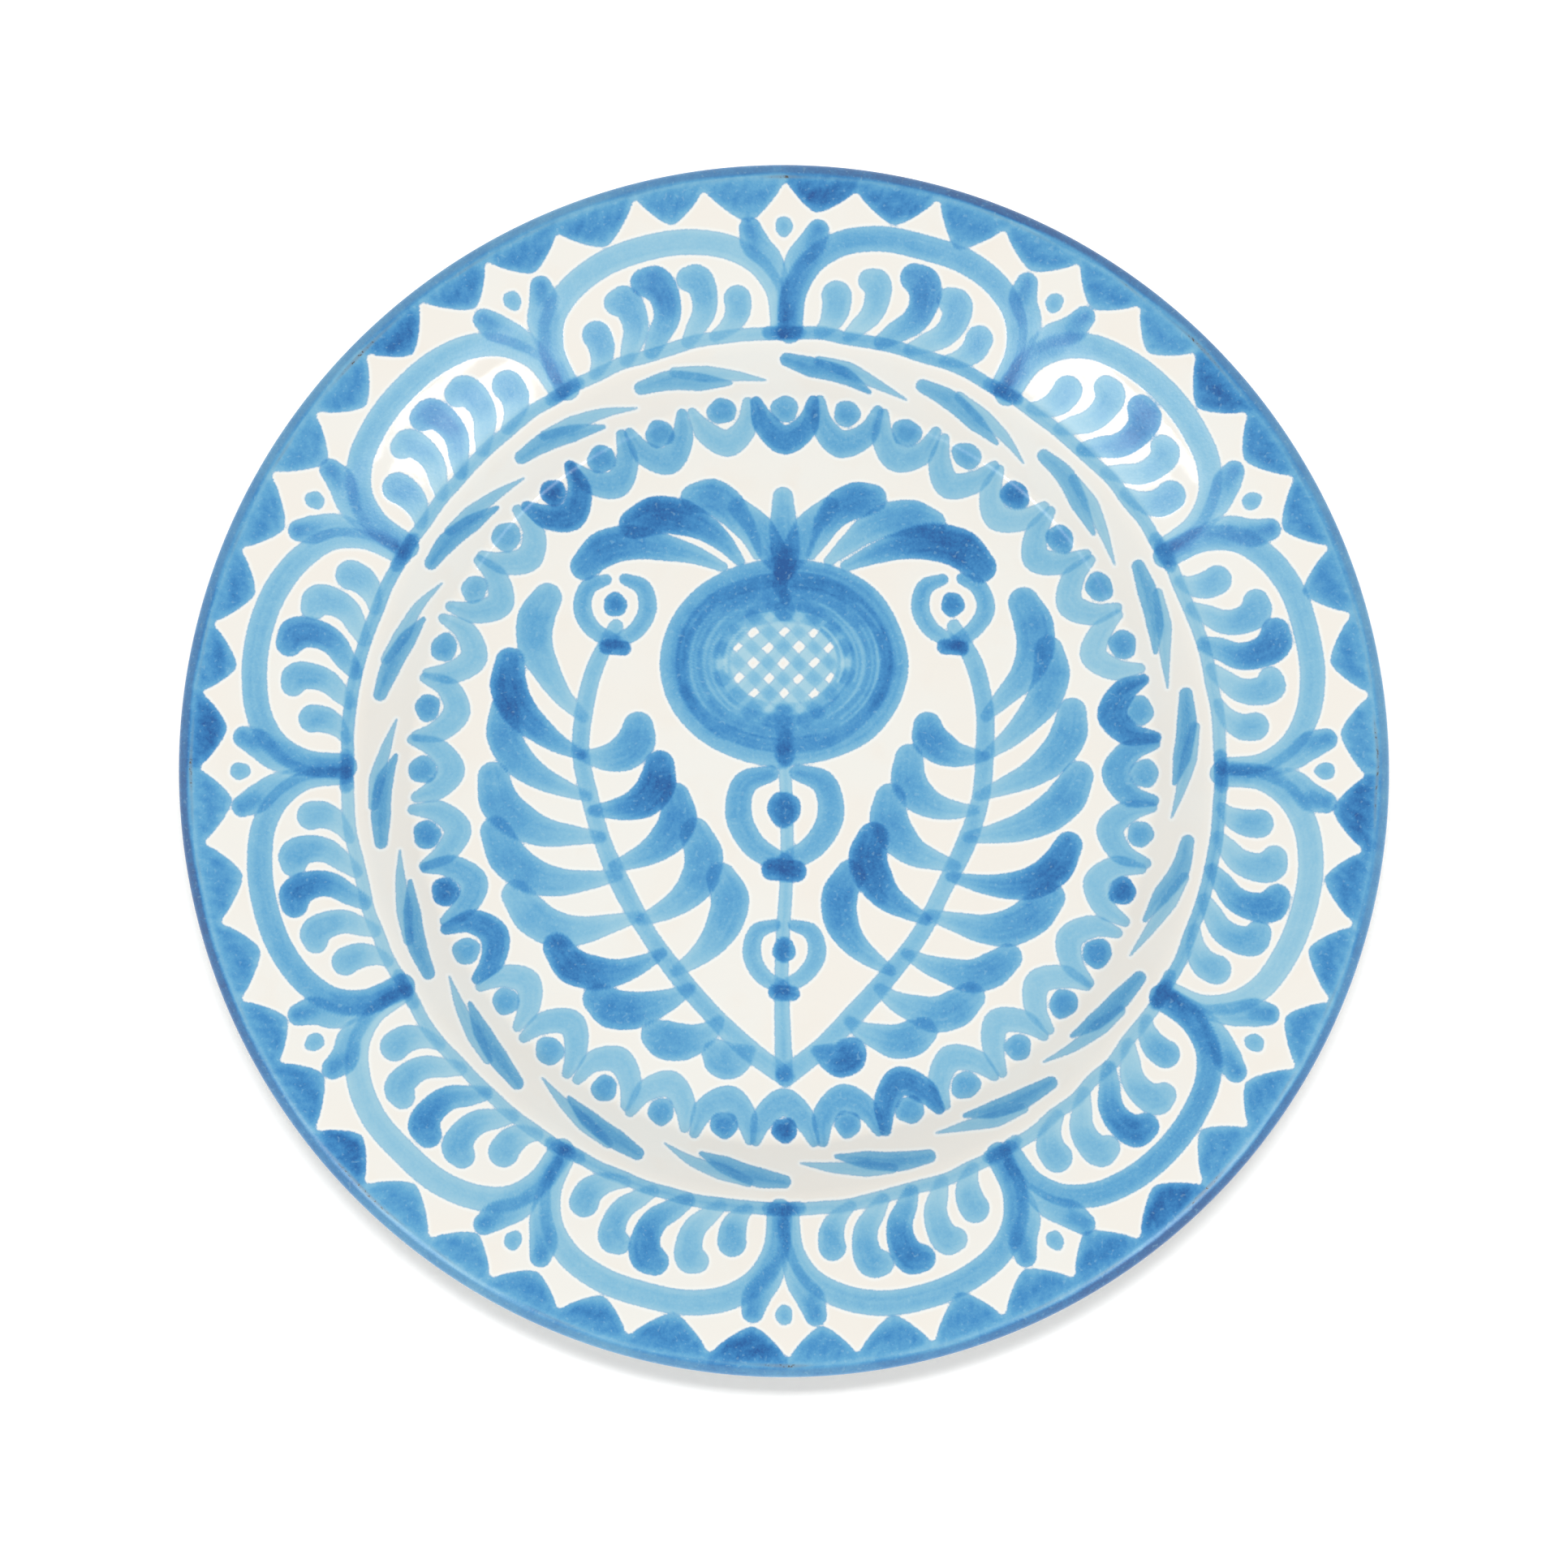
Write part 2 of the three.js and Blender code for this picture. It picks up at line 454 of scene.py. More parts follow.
def brush_fan(canvas, middle):
    """The comma leaves under one arch: the middle one is the tallest and the darkest."""
    for k in range(-LEAVES_EACH_SIDE, LEAVES_EACH_SIDE + 1):
        head = near(middle + 4.5 * k + 0.4, 0.4)
        load = near(0.80 if k == 0 else 0.52, 0.06)
        brush_comma(canvas, head, near(124.6 - 1.8 * k * k, 0.8), near(8.6 - 0.8 * abs(k), 0.5),
                    near(middle + 4.2 * k - 2.0, 0.4), ARCH_FOOT, load)


def brush_bud(canvas, spring):
    """The bud between two arches: two petals that meet in one stalk, and a dot between them."""
    for side in (-1, 1):
        petal = [(3.5, 134.4, 5.6), (3.0, 130.8, 7.2), (1.5, 126.6, 6), (0.3, 119.5, 3.2), (0, 112, 2.8)]
        marks = polar([(near(spring + side * off, 0.2), near(radius, 0.5), width)
                       for off, radius, width in petal], 0)
        loads = np.linspace(0.60, 0.28, len(petal))
        canvas.stroke([(*mark[:3], load) for mark, load in zip(marks, loads)])
        canvas.pool([(x, y, 5.5, 0.24) for x, y, _, _ in marks[:2]])
    canvas.dab(*at(spring, near(134.3, 0.5)), 4.4, 5.2, 0.50, turn=spring)


def paint_brim(canvas):
    """The arches, what stands in and between them, and the line round the well in short runs."""
    for k in range(ARCHES):
        brush_arch(canvas, ARCH_STEP * (k + 0.5), fresh(k, 4, 0.36, 0.56))
    for k in range(ARCHES):
        brush_fan(canvas, ARCH_STEP * (k + 0.5))
    for k in range(ARCHES):
        brush_bud(canvas, ARCH_STEP * k)
    for k in range(ARCHES):
        start = ARCH_STEP * k - 2
        run = [(start + 3.4 * step, near(WELL_LINE, 0.4)) for step in range(11)]
        canvas.stroke(polar(run, fresh(k, 3, 0.30, 0.50), 3.3))
        load = fresh(k, 4, 0.30, 0.75)
        gathered = [(start + 1.8, ARCH_FOOT, 6), (start + 2.3, 111.4, 6), (start + 2.9, 115, 4.5)]
        canvas.pool(polar(gathered, load * 0.7))


# ---------------------------------------------------------------- the wall and its scallops

DASHES = 18
SCALLOPS = 36
DOT_RADIUS = 90


def brush_dash(canvas, start, load):
    """Two overlapping touches, which run down the wall and thin out clockwise."""
    first = [(0, 101.9, 3.4), (4, 101, 5), (8.5, 99, 4.4), (12.6, 97, 1.3)]
    second = [(5, 102.6, 2.5), (9, 101, 4), (13.5, 99.2, 2.6), (18, 97.3, 0.6)]
    for touch, share in ((first, 1.05), (second, 0.7)):
        canvas.stroke(polar([(near(start + off, 0.4), near(radius, 0.4), width)
                             for off, radius, width in touch], load * share))


def brush_scallop(canvas, middle, load):
    """One hanging loop: narrow where it starts and ends, full at the bottom."""
    loop = [(-4.4, 92.2), (-3.4, 86.6), (0, 82.5), (3.4, 86.2), (4.4, 92.6)]
    last = len(loop) - 1
    marks = []
    for k, (off, radius) in enumerate(loop):
        width = (4.6 + 1.2 * load) * (0.54 + 0.84 * math.sin(math.pi * k / last))
        marks.append((*at(near(middle + off, 0.25), near(radius, 0.45)), width, load))
    canvas.stroke(marks)


def paint_wall(canvas):
    """The dashes on the wall, and the scallops round the floor with a dot in each."""
    for k in range(DASHES):
        brush_dash(canvas, near(360 / DASHES * k, 0.8), near(0.52, 0.08))
    for k in range(SCALLOPS):
        middle = near(360 / SCALLOPS * k, 0.5)
        brush_scallop(canvas, middle, fresh(k, 8, 0.38, 0.78))
        x, y = at(middle, near(DOT_RADIUS, 0.9))
        canvas.dab(x, y, near(7.2, 0.7), near(6.8, 0.6), fresh(k + 3, 7, 0.56, 0.86), turn=middle)


# ---------------------------------------------------------------- the pomegranate spray, in x and y

# The right stem's cubic curve, from the foot of the spray up. The left stem mirrors it.
STEM_FOOT = (0, -76)
STEM_HANDLES = ((34, -52), (66, 2))
STEM_TOP = (42, 36)

OUTER_LEAVES = 10
INNER_LEAVES = 5
CROWN_LEAVES = 3
LEAF_REACH = 73.5       # how far from the middle the outer leaves start

FRUIT_MIDDLE = (0, 27)
FRUIT_SIZE = (30, 24.5)   # half the width and half the height
FRUIT_TURNS = 4         # strokes one inside the other on each side of the fruit

# The crossed strokes of the seeds: half the size of their patch, and the steps from one stroke
# to the next both ways.
NET_REACH = (17, 15)
NET_UP = (3.8, 3.8)
NET_DOWN = (3.8, -3.8)


def stem_point(share):
    """(x, y) on the right stem, from 0 at its foot to 1 at its top."""
    left = 1 - share
    corners = (STEM_FOOT, *STEM_HANDLES, STEM_TOP)
    weights = (left ** 3, 3 * left ** 2 * share, 3 * left * share ** 2, share ** 3)
    return [sum(weight * corner[axis] for weight, corner in zip(weights, corners)) for axis in (0, 1)]


def brush_leaf(canvas, head, root, width, bulge, load):
    """A leaf from its round head to its thin root, bowed to one side by a share of its length:
    darkest a little way from where the brush came down, and pale where it lifts."""
    head_x, head_y = head
    run_x = root[0] - head_x
    run_y = root[1] - head_y
    marks = []
    for share, sideways, fullness, ink in (
            (0, -0.4, 0.84, 0.90), (0.13, 0.5, 1.06, 1.02), (0.34, 1.0, 1.0, 0.95), (0.56, 0.95, 0.78, 0.84),
            (0.79, 0.55, 0.54, 0.70), (1, 0, 0.30, 0.58)):
        bow = bulge * sideways
        marks.append((near(head_x + run_x * share - run_y * bow, 0.3),
                      near(head_y + run_y * share + run_x * bow, 0.3), width * fullness, load * ink))
    canvas.stroke(marks)
    canvas.pool([(x, y, mark_width, load * 0.18) for x, y, mark_width, _ in marks[1:3]])


def brush_flower(canvas, x, y, size, load):
    """An open flower: two curled petals round a seed dot, over a short cup."""
    for side in (-1, 1):
        petal = [(0.35, 1.25, 0.42), (0.95, 1.0, 0.62), (1.15, 0.2, 0.68),
                 (0.75, -0.55, 0.62), (0, -1.0, 0.5)]
        canvas.stroke(loaded([(near(x + side * off * size, 0.3), near(y + up * size, 0.3), width * size)
                              for off, up, width in petal], load, load * 0.8))
    canvas.dab(x, y + 0.35 * size, 0.85 * size, 0.9 * size, load * 1.3)
    canvas.stroke(loaded([(x - 0.3 * size, y - 1.15 * size, 0.55 * size),
                          (x + 0.3 * size, y - 1.2 * size, 0.55 * size)], load * 1.4))


def paint_stems(canvas):
    """Two bowed stems from one foot, and the fruit's stalk between them."""
    for side in (-1, 1):
        places = [stem_point(share) for share in np.linspace(0, 1, 12)]
        widths = [5.4 - 1.4 * k / 11 for k in range(12)]
        canvas.stroke([(near(side * x, 0.4), y, near(width, 0.5), near(0.44, 0.05))
                       for (x, y), width in zip(places, widths)])
    canvas.stroke(loaded([(0, 8, 3.2), (0.8, -20, 3.4), (-0.6, -50, 3.6), (0, -75, 4.6)], 0.34, 0.44))


def paint_leaves(canvas):
    """Leaves outside and inside both stems, and a fan of them over the fruit."""
    for side in (-1, 1):
        for k in range(OUTER_LEAVES):
            share = k / (OUTER_LEAVES - 1)
            head_x, head_y = at(near(56 + 110 * share, 1.6), near(LEAF_REACH, 1.2))
            root_x, root_y = stem_point(0.80 - 0.72 * share)
            brush_leaf(canvas, (side * head_x, head_y), (side * root_x, root_y), near(9.0, 0.6),
                       side * near(0.15, 0.03), fresh(k + side, 5, 0.52, 0.84))
        for k in range(INNER_LEAVES):
            head = (side * near(35.5 - 5.2 * k, 0.8), near(10 - 9.2 * k, 0.8))
            root_x, root_y = stem_point(0.72 - 0.11 * k)
            brush_leaf(canvas, head, (side * root_x, root_y), near(8.8, 0.6), -side * near(0.20, 0.03),
                       fresh(k + side, 4, 0.54, 0.84))
        for k in range(CROWN_LEAVES):
            head_x, head_y = at(17 + 13 * k, near(72.5, 1))
            brush_leaf(canvas, (side * head_x, head_y), (side * (7 + 4 * k), 54 - 1.5 * k), near(9.2, 0.5),
                       -side * near(0.14, 0.02), fresh(k + side, 3, 0.58, 0.88))


def paint_net(canvas):
    """The crossed strokes that stand for the seeds, from edge to edge of the round patch."""
    for along, over, width in ((NET_UP, NET_DOWN, 3.7), (NET_DOWN, NET_UP, 3.1)):
        for step in range(-5, 5):
            x = over[0] * (step + 0.5)
            y = over[1] * (step + 0.5)
            inside = [t for t in np.linspace(-5, 5, 41)
                      if math.hypot((x + along[0] * t) / NET_REACH[0], (y + along[1] * t) / NET_REACH[1]) < 1]
            if len(inside) < 4:
                continue
            canvas.stroke([(near(FRUIT_MIDDLE[0] + x + along[0] * t, 0.3),
                            near(FRUIT_MIDDLE[1] + y + along[1] * t, 0.3), near(width, 0.4), near(0.27, 0.06))
                           for t in np.linspace(inside[0], inside[-1], 4)])


def paint_fruit(canvas):
    """The fruit: turns of the brush one inside the other, down each side of the patch of seeds."""
    paint_net(canvas)

    def on_turn(share, angle):
        """(x, y) on the turn that is that share of the fruit's size, clockwise from its top."""
        turn = math.radians(angle)
        return (FRUIT_MIDDLE[0] + FRUIT_SIZE[0] * share * math.sin(turn),
                FRUIT_MIDDLE[1] + FRUIT_SIZE[1] * share * math.cos(turn))

    for side in (-1, 1):
        for k in range(FRUIT_TURNS):
            share = 0.92 - 0.125 * k
            arc = [on_turn(share, side * angle) for angle in np.linspace(near(3, 3), 178, 9)]
            first = near(0.60 - 0.08 * k, 0.05)
            canvas.stroke(loaded([(near(x, 0.3), near(y, 0.3), near(7.2 - 0.4 * k, 0.4)) for x, y in arc],
                                 first, first * 0.8))
            start = near(50, 12)
            canvas.thin([(*on_turn(share - 0.06, side * angle), 0.8)
                         for angle in np.linspace(start, start + near(70, 20), 8)], 0.42)
        canvas.pool(loaded([(*on_turn(0.88, side * angle), 5.5) for angle in (70, 95, 120)], 0.34))
    for lean in (-1, 0, 1):
        tip_height = 68.5 - 3 * abs(lean)
        sepal = [(0, 50, 5), (3.2 * lean, 55, 7.4), (6.4 * lean, 61, 7), (11 * lean, tip_height, 5.2)]
        canvas.stroke(loaded([(near(x, 0.3), near(y, 0.3), width) for x, y, width in sepal],
                             near(0.72, 0.06), near(0.48, 0.05)))


def paint_spray(canvas):
    paint_stems(canvas)
    paint_leaves(canvas)
    paint_fruit(canvas)
    brush_flower(canvas, 0, -13, 10, 0.62)
    brush_flower(canvas, 0, -47, 7, 0.56)
    for side in (-1, 1):
        brush_flower(canvas, side * STEM_TOP[0], STEM_TOP[1] + 3, 7, 0.60)


def paint():
    canvas = Canvas()
    paint_border(canvas)
    paint_brim(canvas)
    paint_wall(canvas)
    paint_spray(canvas)
    paint_lip(canvas)
    canvas.finish()
    return canvas


# ---------------------------------------------------------------- section lines, as (radius, height)

def face_line(spacing):
    """The glazed face from the middle of the floor out to the lip band."""
    turn = np.linspace(0, WALL_SLOPE, max(3, round(WELL_FILLET * WALL_SLOPE / spacing)) + 1)[1:]
    fillet = np.column_stack([FLOOR_RADIUS + WELL_FILLET * np.sin(turn),
                              FLOOR_HEIGHT + WELL_FILLET * (1 - np.cos(turn))])
    wall_top = (WALL_TOP_RADIUS, fillet[-1][1] + (WALL_TOP_RADIUS - fillet[-1][0]) * math.tan(WALL_SLOPE))
    return np.concatenate([
        [(0, FLOOR_HEIGHT)],
        straight((0, FLOOR_HEIGHT), (FLOOR_RADIUS, FLOOR_HEIGHT), spacing),
        fillet,
        straight(fillet[-1], wall_top, spacing),
        bend(wall_top, SHOULDER_HANDLES, BRIM_EDGE, spacing),
        bend(BRIM_EDGE, BRIM_HANDLES, (BAND_RADIUS, CROWN_HEIGHT), spacing),
    ])


def back_line(spacing):
    """The glazed back from the lip band in to the root of the foot."""
    start = (BAND_RADIUS, LIP_HEIGHT - LIP_HALF_THICKNESS)
    return np.concatenate([
        [start],
        bend(start, BACK_BRIM_HANDLES, BACK_SHOULDER, spacing),
        bend(BACK_SHOULDER, BACK_WALL_HANDLES, (FOOT_OUTER, RECESS_HEIGHT), spacing),
    ])


def lip_line(inset, count):
    """The lip's rounded edge from the face over to the back."""
    turn = np.linspace(math.pi / 2, -math.pi / 2, count)
    return np.column_stack([
        BAND_RADIUS + (RIM_RADIUS - BAND_RADIUS - inset) * np.maximum(0, np.cos(turn)),
        LIP_HEIGHT + (LIP_HALF_THICKNESS - inset) * np.sin(turn),
    ])


def lowered(line, depth):
    return line - (0, depth)


# ---------------------------------------------------------------- lathed meshes

FINEST = 1536           # points round the plate where the painting needs them
ROUND = 768             # and round the back and the foot
PLAIN = 384             # and where little shows


def rounds(radius, most):
    """Points round a ring: halved from the outside in, so that they keep their spacing."""
    return min(most, 12 * 2 ** math.floor(math.log2(max(radius, 0.6) / 0.6)))


def thrown(x, y, z):
    """The unevenness that the hand and the kiln leave: a rim a little out of round and out of
    level, faint throwing rings, and glaze that lies in soft swells."""
    radius = np.hypot(x, y)
    bearing = np.arctan2(x, y)
    grow = 1 + 0.0011 * np.cos(2 * bearing + 0.7) * smooth(radius, 60, 150)
    outward = smooth(radius, 84, 146)
    lift = outward * (0.22 * np.sin(2 * bearing + 2.1) + 0.12 * np.sin(3 * bearing + 0.4))
    upper = smooth(z, 10.5, 11.5)
    rings = 0.022 * np.sin(2 * math.pi * radius / 8.5 + bearing) * smooth(radius, 6, 30)
    swells = 0.030 * waves(x, y, 34, 21) + 0.010 * waves(x, y, 13, 22)
    return x * grow, y * grow, z + lift + (rings + swells) * upper


def lathe(name, line, counts, shown, closed=False, unevenness=thrown):
    """A lathed mesh from (radius, height) points, a point count for each ring, and how many of
    its points, from the first, are on the shown side. A ring has as many points as its neighbour,
    or twice or half as many, and a radius of 0 is a single point."""
    rings = list(zip(line[:, 0], line[:, 1], counts))
    starts = []
    places = []
    total = 0
    for radius, height, count in rings:
        turn = 2 * math.pi * np.arange(count) / count
        starts.append(total)
        total += count
        places.append(np.column_stack([radius * np.cos(turn), radius * np.sin(turn), np.full(count, height)]))
    flat = np.concatenate(places)
    quads = []
    triangles = []
    shown_quads = []
    shown_triangles = []
    pairs = [(k, k + 1) for k in range(len(rings) - 1)]
    if closed:
        pairs.append((len(rings) - 1, 0))

    def on(ring, index):
        """The numbers of a ring's points, counted on round it."""
        return starts[ring] + index % rings[ring][2]

    for a, b in pairs:
        n, m = rings[a][2], rings[b][2]
        visible = a < b < shown
        j = np.arange(min(n, m) if min(n, m) > 1 else max(n, m))
        if n == m:
            quads.append(np.column_stack([on(a, j), on(b, j), on(b, j + 1), on(a, j + 1)]))
            shown_quads.append(np.full(n, visible))
            continue
        if m == 1:
            parts = [(on(a, j), on(b, j), on(a, j + 1))]
        elif n == 1:
            parts = [(on(a, j), on(b, j), on(b, j + 1))]
        elif m > n:
            parts = [(on(a, j), on(b, 2 * j), on(b, 2 * j + 1)),
                     (on(a, j), on(b, 2 * j + 1), on(a, j + 1)),
                     (on(a, j + 1), on(b, 2 * j + 1), on(b, 2 * j + 2))]
        else:
            parts = [(on(a, 2 * j), on(b, j), on(a, 2 * j + 1)),
                     (on(a, 2 * j + 1), on(b, j), on(b, j + 1)),
                     (on(a, 2 * j + 1), on(b, j + 1), on(a, 2 * j + 2))]
        for part in parts:
            triangles.append(np.column_stack(part))
            shown_triangles.append(np.full(len(j), visible))
    quads = np.concatenate(quads)
    triangles = np.concatenate(triangles) if triangles else np.empty((0, 3), int)
    loops = np.concatenate([quads.ravel(), triangles.ravel()])
    first_loops = np.concatenate([np.arange(len(quads)) * 4, len(quads) * 4 + np.arange(len(triangles)) * 3])
    shown_loops = np.concatenate([np.repeat(np.concatenate(shown_quads), 4),
                                  np.repeat(np.concatenate(shown_triangles or [np.empty(0, bool)]), 3)])

    x, y, z = unevenness(flat[:, 0], flat[:, 1], flat[:, 2])
    mesh = bpy.data.meshes.new(name)
    mesh.vertices.add(total)
    mesh.vertices.foreach_set("co", (np.column_stack([x, y, z]) * MM).astype(np.float32).ravel())
    mesh.loops.add(len(loops))
    mesh.loops.foreach_set("vertex_index", loops.astype(np.int32))
    mesh.polygons.add(len(first_loops))
    mesh.polygons.foreach_set("loop_start", first_loops.astype(np.int32))
    mesh.update(calc_edges=True)
    mesh.validate()
    mesh.shade_smooth()
    mesh.set_sharp_from_angle(angle=math.radians(48))
    return add_object(name, mesh), flat, loops, shown_loops


def folded(flat, over):
    """Places on the canvas for points of the plate: seen from above, and for points on its back
    folded out past the rim, so that the lip and the back read their own part of the canvas."""
    radius = np.maximum(np.hypot(flat[:, 0], flat[:, 1]), 1e-6)
    far = np.where(over, 2 * RIM_RADIUS - radius, radius)
    return flat[:, 0] * far / radius, flat[:, 1] * far / radius


def carry_paint(piece, canvas, x, y):
    """Gives each point of a glazed piece what the canvas holds at its place."""
    edge = canvas.read(canvas.edge, x, y)
    ink = canvas.read(canvas.ink, x, y)
    worn_and_shade = canvas.read(canvas.worn_and_shade, x, y)
    for name, values in (("paint_edge", edge), ("paint_ink", ink), ("glaze_wear_and_shade", worn_and_shade)):
        attribute = piece.data.attributes.new(name, "FLOAT", "POINT")
        attribute.data.foreach_set("value", values.astype(np.float32))


def lay_out(piece, x, y, loops, shown_loops):
    """A flat layout: the shown side as seen on the canvas, and the hidden side small, in a
    corner that the round layout leaves free."""
    layer = piece.data.uv_layers.new(name="OFBake")
    span = 2 * CANVAS_REACH
    u = np.where(shown_loops, 0.5 + x[loops] / span, 0.06 + 0.1 * x[loops] / span)
    v = np.where(shown_loops, 0.5 + y[loops] / span, 0.06 + 0.1 * y[loops] / span)
    layer.data.foreach_set("uv", np.column_stack([u, v]).astype(np.float32).ravel())


# ---------------------------------------------------------------- materials

GLOSS_VEIL = 0.022      # what the reflected room adds to every glazed colour


def screen_colour(red, green, blue, veil=0.0):
    """A linear colour from 0 to 255 screen values, less what a gloss will add to it."""
    linear = []
    for value in (red, green, blue):
        share = value / 255
        straightened = share / 12.92 if share <= 0.04045 else ((share + 0.055) / 1.055) ** 2.4
        linear.append(max(0.0, straightened - veil))
    return (*linear, 1.0)


def glazed_colour(red, green, blue):
    return screen_colour(red, green, blue, GLOSS_VEIL)


class Graph:
    """One material's nodes, with short ways to make them."""

    def __init__(self, name):
        self.material = bpy.data.materials.new(name)
        self.material.use_nodes = True
        self.tree = self.material.node_tree
        self.shader = self.tree.nodes["Principled BSDF"]
        self.place = self.node("ShaderNodeTexCoord").outputs["Object"]

    def fill(self, socket, value):
        if isinstance(value, bpy.types.NodeSocket):
            self.tree.links.new(value, socket)
        else:
            socket.default_value = value

    def node(self, kind, inputs=None, **settings):
        made = self.tree.nodes.new(kind)
        for name, value in settings.items():
            setattr(made, name, value)
        for name, value in (inputs or {}).items():
            self.fill(made.inputs[name], value)
        return made

    def attribute(self, name):
        return self.node("ShaderNodeAttribute", attribute_name=name).outputs["Fac"]

    def noise(self, size, detail=2.0, roughness=0.5, stretch=None):
        """Noise from 0 to 1 with features of about that size in mm."""
        place = self.place
        if stretch:
            place = self.node("ShaderNodeMapping", {"Vector": place, "Scale": stretch}).outputs[0]
        return self.node("ShaderNodeTexNoise", {
            "Vector": place, "Scale": 1 / (size * MM), "Detail": detail, "Roughness": roughness,
        }).outputs["Fac"]

    def calculate(self, operation, first, second=0.0, clamp=False):
        made = self.node("ShaderNodeMath", operation=operation, use_clamp=clamp)
        self.fill(made.inputs[0], first)
        self.fill(made.inputs[1], second)
        return made.outputs[0]

    def swing(self, noise, reach):
        """Noise turned into a value about 0, that reaches half as far as given each way."""
        return self.calculate("MULTIPLY", self.calculate("SUBTRACT", noise, 0.5), reach)

    def step(self, value, low, high, start=0.0, end=1.0):
        """An S-curve from start to end as the value goes from low to high."""
        return self.node("ShaderNodeMapRange", {
            "Value": value, "From Min": low, "From Max": high, "To Min": start, "To Max": end,
        }, interpolation_type="SMOOTHSTEP").outputs[0]

    def mix(self, share, first, second):
        made = self.node("ShaderNodeMix", data_type="RGBA")
        self.fill(made.inputs["Factor"], share)
        self.fill(made.inputs[6], first)
        self.fill(made.inputs[7], second)
        return made.outputs[2]

    def ramp(self, value, stops):
        made = self.node("ShaderNodeValToRGB", {"Fac": value})
        elements = made.color_ramp.elements
        while len(elements) < len(stops):
            elements.new(0.5)
        for element, (position, colour) in zip(elements, stops):
            element.position = position
            element.color = colour
        return made.outputs[0]

    def bump(self, height, distance, normal=None):
        inputs = {"Height": height, "Distance": distance * MM, "Strength": 1.0}
        if normal:
            inputs["Normal"] = normal
        return self.node("ShaderNodeBump", inputs).outputs[0]

    def finish(self, colour, roughness, normal):
        self.fill(self.shader.inputs["Base Color"], colour)
        self.fill(self.shader.inputs["Roughness"], roughness)
        self.fill(self.shader.inputs["Normal"], normal)
        return self.material


GROUND = glazed_colour(245, 240, 231)
GROUND_WARM = glazed_colour(244, 238, 228)
GROUND_COOL = glazed_colour(244, 242, 235)
HALO_WHITE = glazed_colour(248, 248, 243)
RIM_OF_STROKE = glazed_colour(118, 160, 206)
# grey-blue of glaze rubbed by the banding brush, and also the colour of the painted shade on the lip
RUBBED_AND_SHADE = glazed_colour(122, 146, 166)
SPECKLE = glazed_colour(92, 86, 78)
PIGMENT = [
    (0.00, glazed_colour(200, 226, 233)), (0.25, glazed_colour(166, 209, 226)),
    (0.42, glazed_colour(133, 191, 220)), (0.58, glazed_colour(99, 169, 212)),
    (0.74, glazed_colour(69, 143, 200)), (0.88, glazed_colour(49, 118, 180)),
    (1.00, glazed_colour(36, 93, 157)),
]


def tin_glaze(graph):
    """Warm white glaze: its colour, and the bump of its surface."""
    tint = graph.mix(graph.step(graph.noise(38, 2), 0.35, 0.65), GROUND_COOL, GROUND)
    tint = graph.mix(graph.step(graph.noise(11, 3), 0.5, 0.75, 0, 0.6), tint, GROUND_WARM)
    orange_peel = graph.bump(graph.noise(5, 1), 0.010)
    return tint, orange_peel


def painted_glaze():
    """Tin glaze with cobalt brushwork in it, from the fields that the painting left."""
    graph = Graph("painted_glaze")
    ground, peel = tin_glaze(graph)
    grain = graph.noise(0.62, 2, 0.6)
    cloud = graph.noise(3.4, 3, 0.6)
    edge = graph.attribute("paint_edge")
    ink = graph.attribute("paint_ink")

    ragged = graph.calculate("ADD", edge, graph.swing(grain, 0.5))
    covered = graph.step(ragged, -0.22, 0.28)
    halo = graph.step(ragged, -1.0, -0.2)
    ground = graph.mix(halo, ground, HALO_WHITE)

    uneven = graph.calculate("ADD", graph.swing(grain, 0.30), graph.swing(cloud, 0.34))
    ink = graph.calculate("MULTIPLY", ink, graph.calculate("ADD", uneven, 1.0), clamp=True)
    pigment = graph.ramp(ink, PIGMENT)
    rim = graph.step(ragged, 0.05, 0.6, 0.32, 0)
    pigment = graph.mix(rim, pigment, RIM_OF_STROKE)
    speck = graph.step(graph.noise(0.9, 0), 0.68, 0.80, 0, 0.22)
    pigment = graph.mix(speck, pigment, PIGMENT[1][1])
    colour = graph.mix(covered, ground, pigment)

    # this field holds both worn glaze and the lip's painted shade, and both mix towards one grey-blue
    wear_and_shade = graph.attribute("glaze_wear_and_shade")
    colour = graph.mix(graph.step(wear_and_shade, 0.1, 1.4, 0, 0.7), colour, RUBBED_AND_SHADE)
    spots = graph.step(graph.noise(0.8, 1), 0.56, 0.66)
    spotted = graph.calculate("MULTIPLY", spots, graph.step(wear_and_shade, 0.6, 1.2))
    colour = graph.mix(spotted, colour, SPECKLE)

    grain_depth = graph.calculate("MULTIPLY", grain, covered)
    ripple = graph.bump(graph.noise(2.6, 1), 0.010, peel)
    normal = graph.bump(grain_depth, 0.022, ripple)
    roughness = graph.step(covered, 0, 1, 0.07, 0.24)
    return graph.finish(colour, roughness, normal)


def white_glaze():
    """The plain tin glaze, with pinholes and a few iron specks."""
    graph = Graph("white_glaze")
    ground, peel = tin_glaze(graph)
    speck = graph.step(graph.noise(1.6, 0), 0.76, 0.80, 0, 0.55)
    colour = graph.mix(speck, ground, glazed_colour(176, 152, 122))
    pinhole = graph.step(graph.noise(2.3, 0), 0.78, 0.82)
    normal = graph.bump(graph.calculate("SUBTRACT", 1.0, pinhole), 0.12, peel)
    return graph.finish(colour, graph.step(graph.noise(20, 2), 0.3, 0.7, 0.08, 0.16), normal)


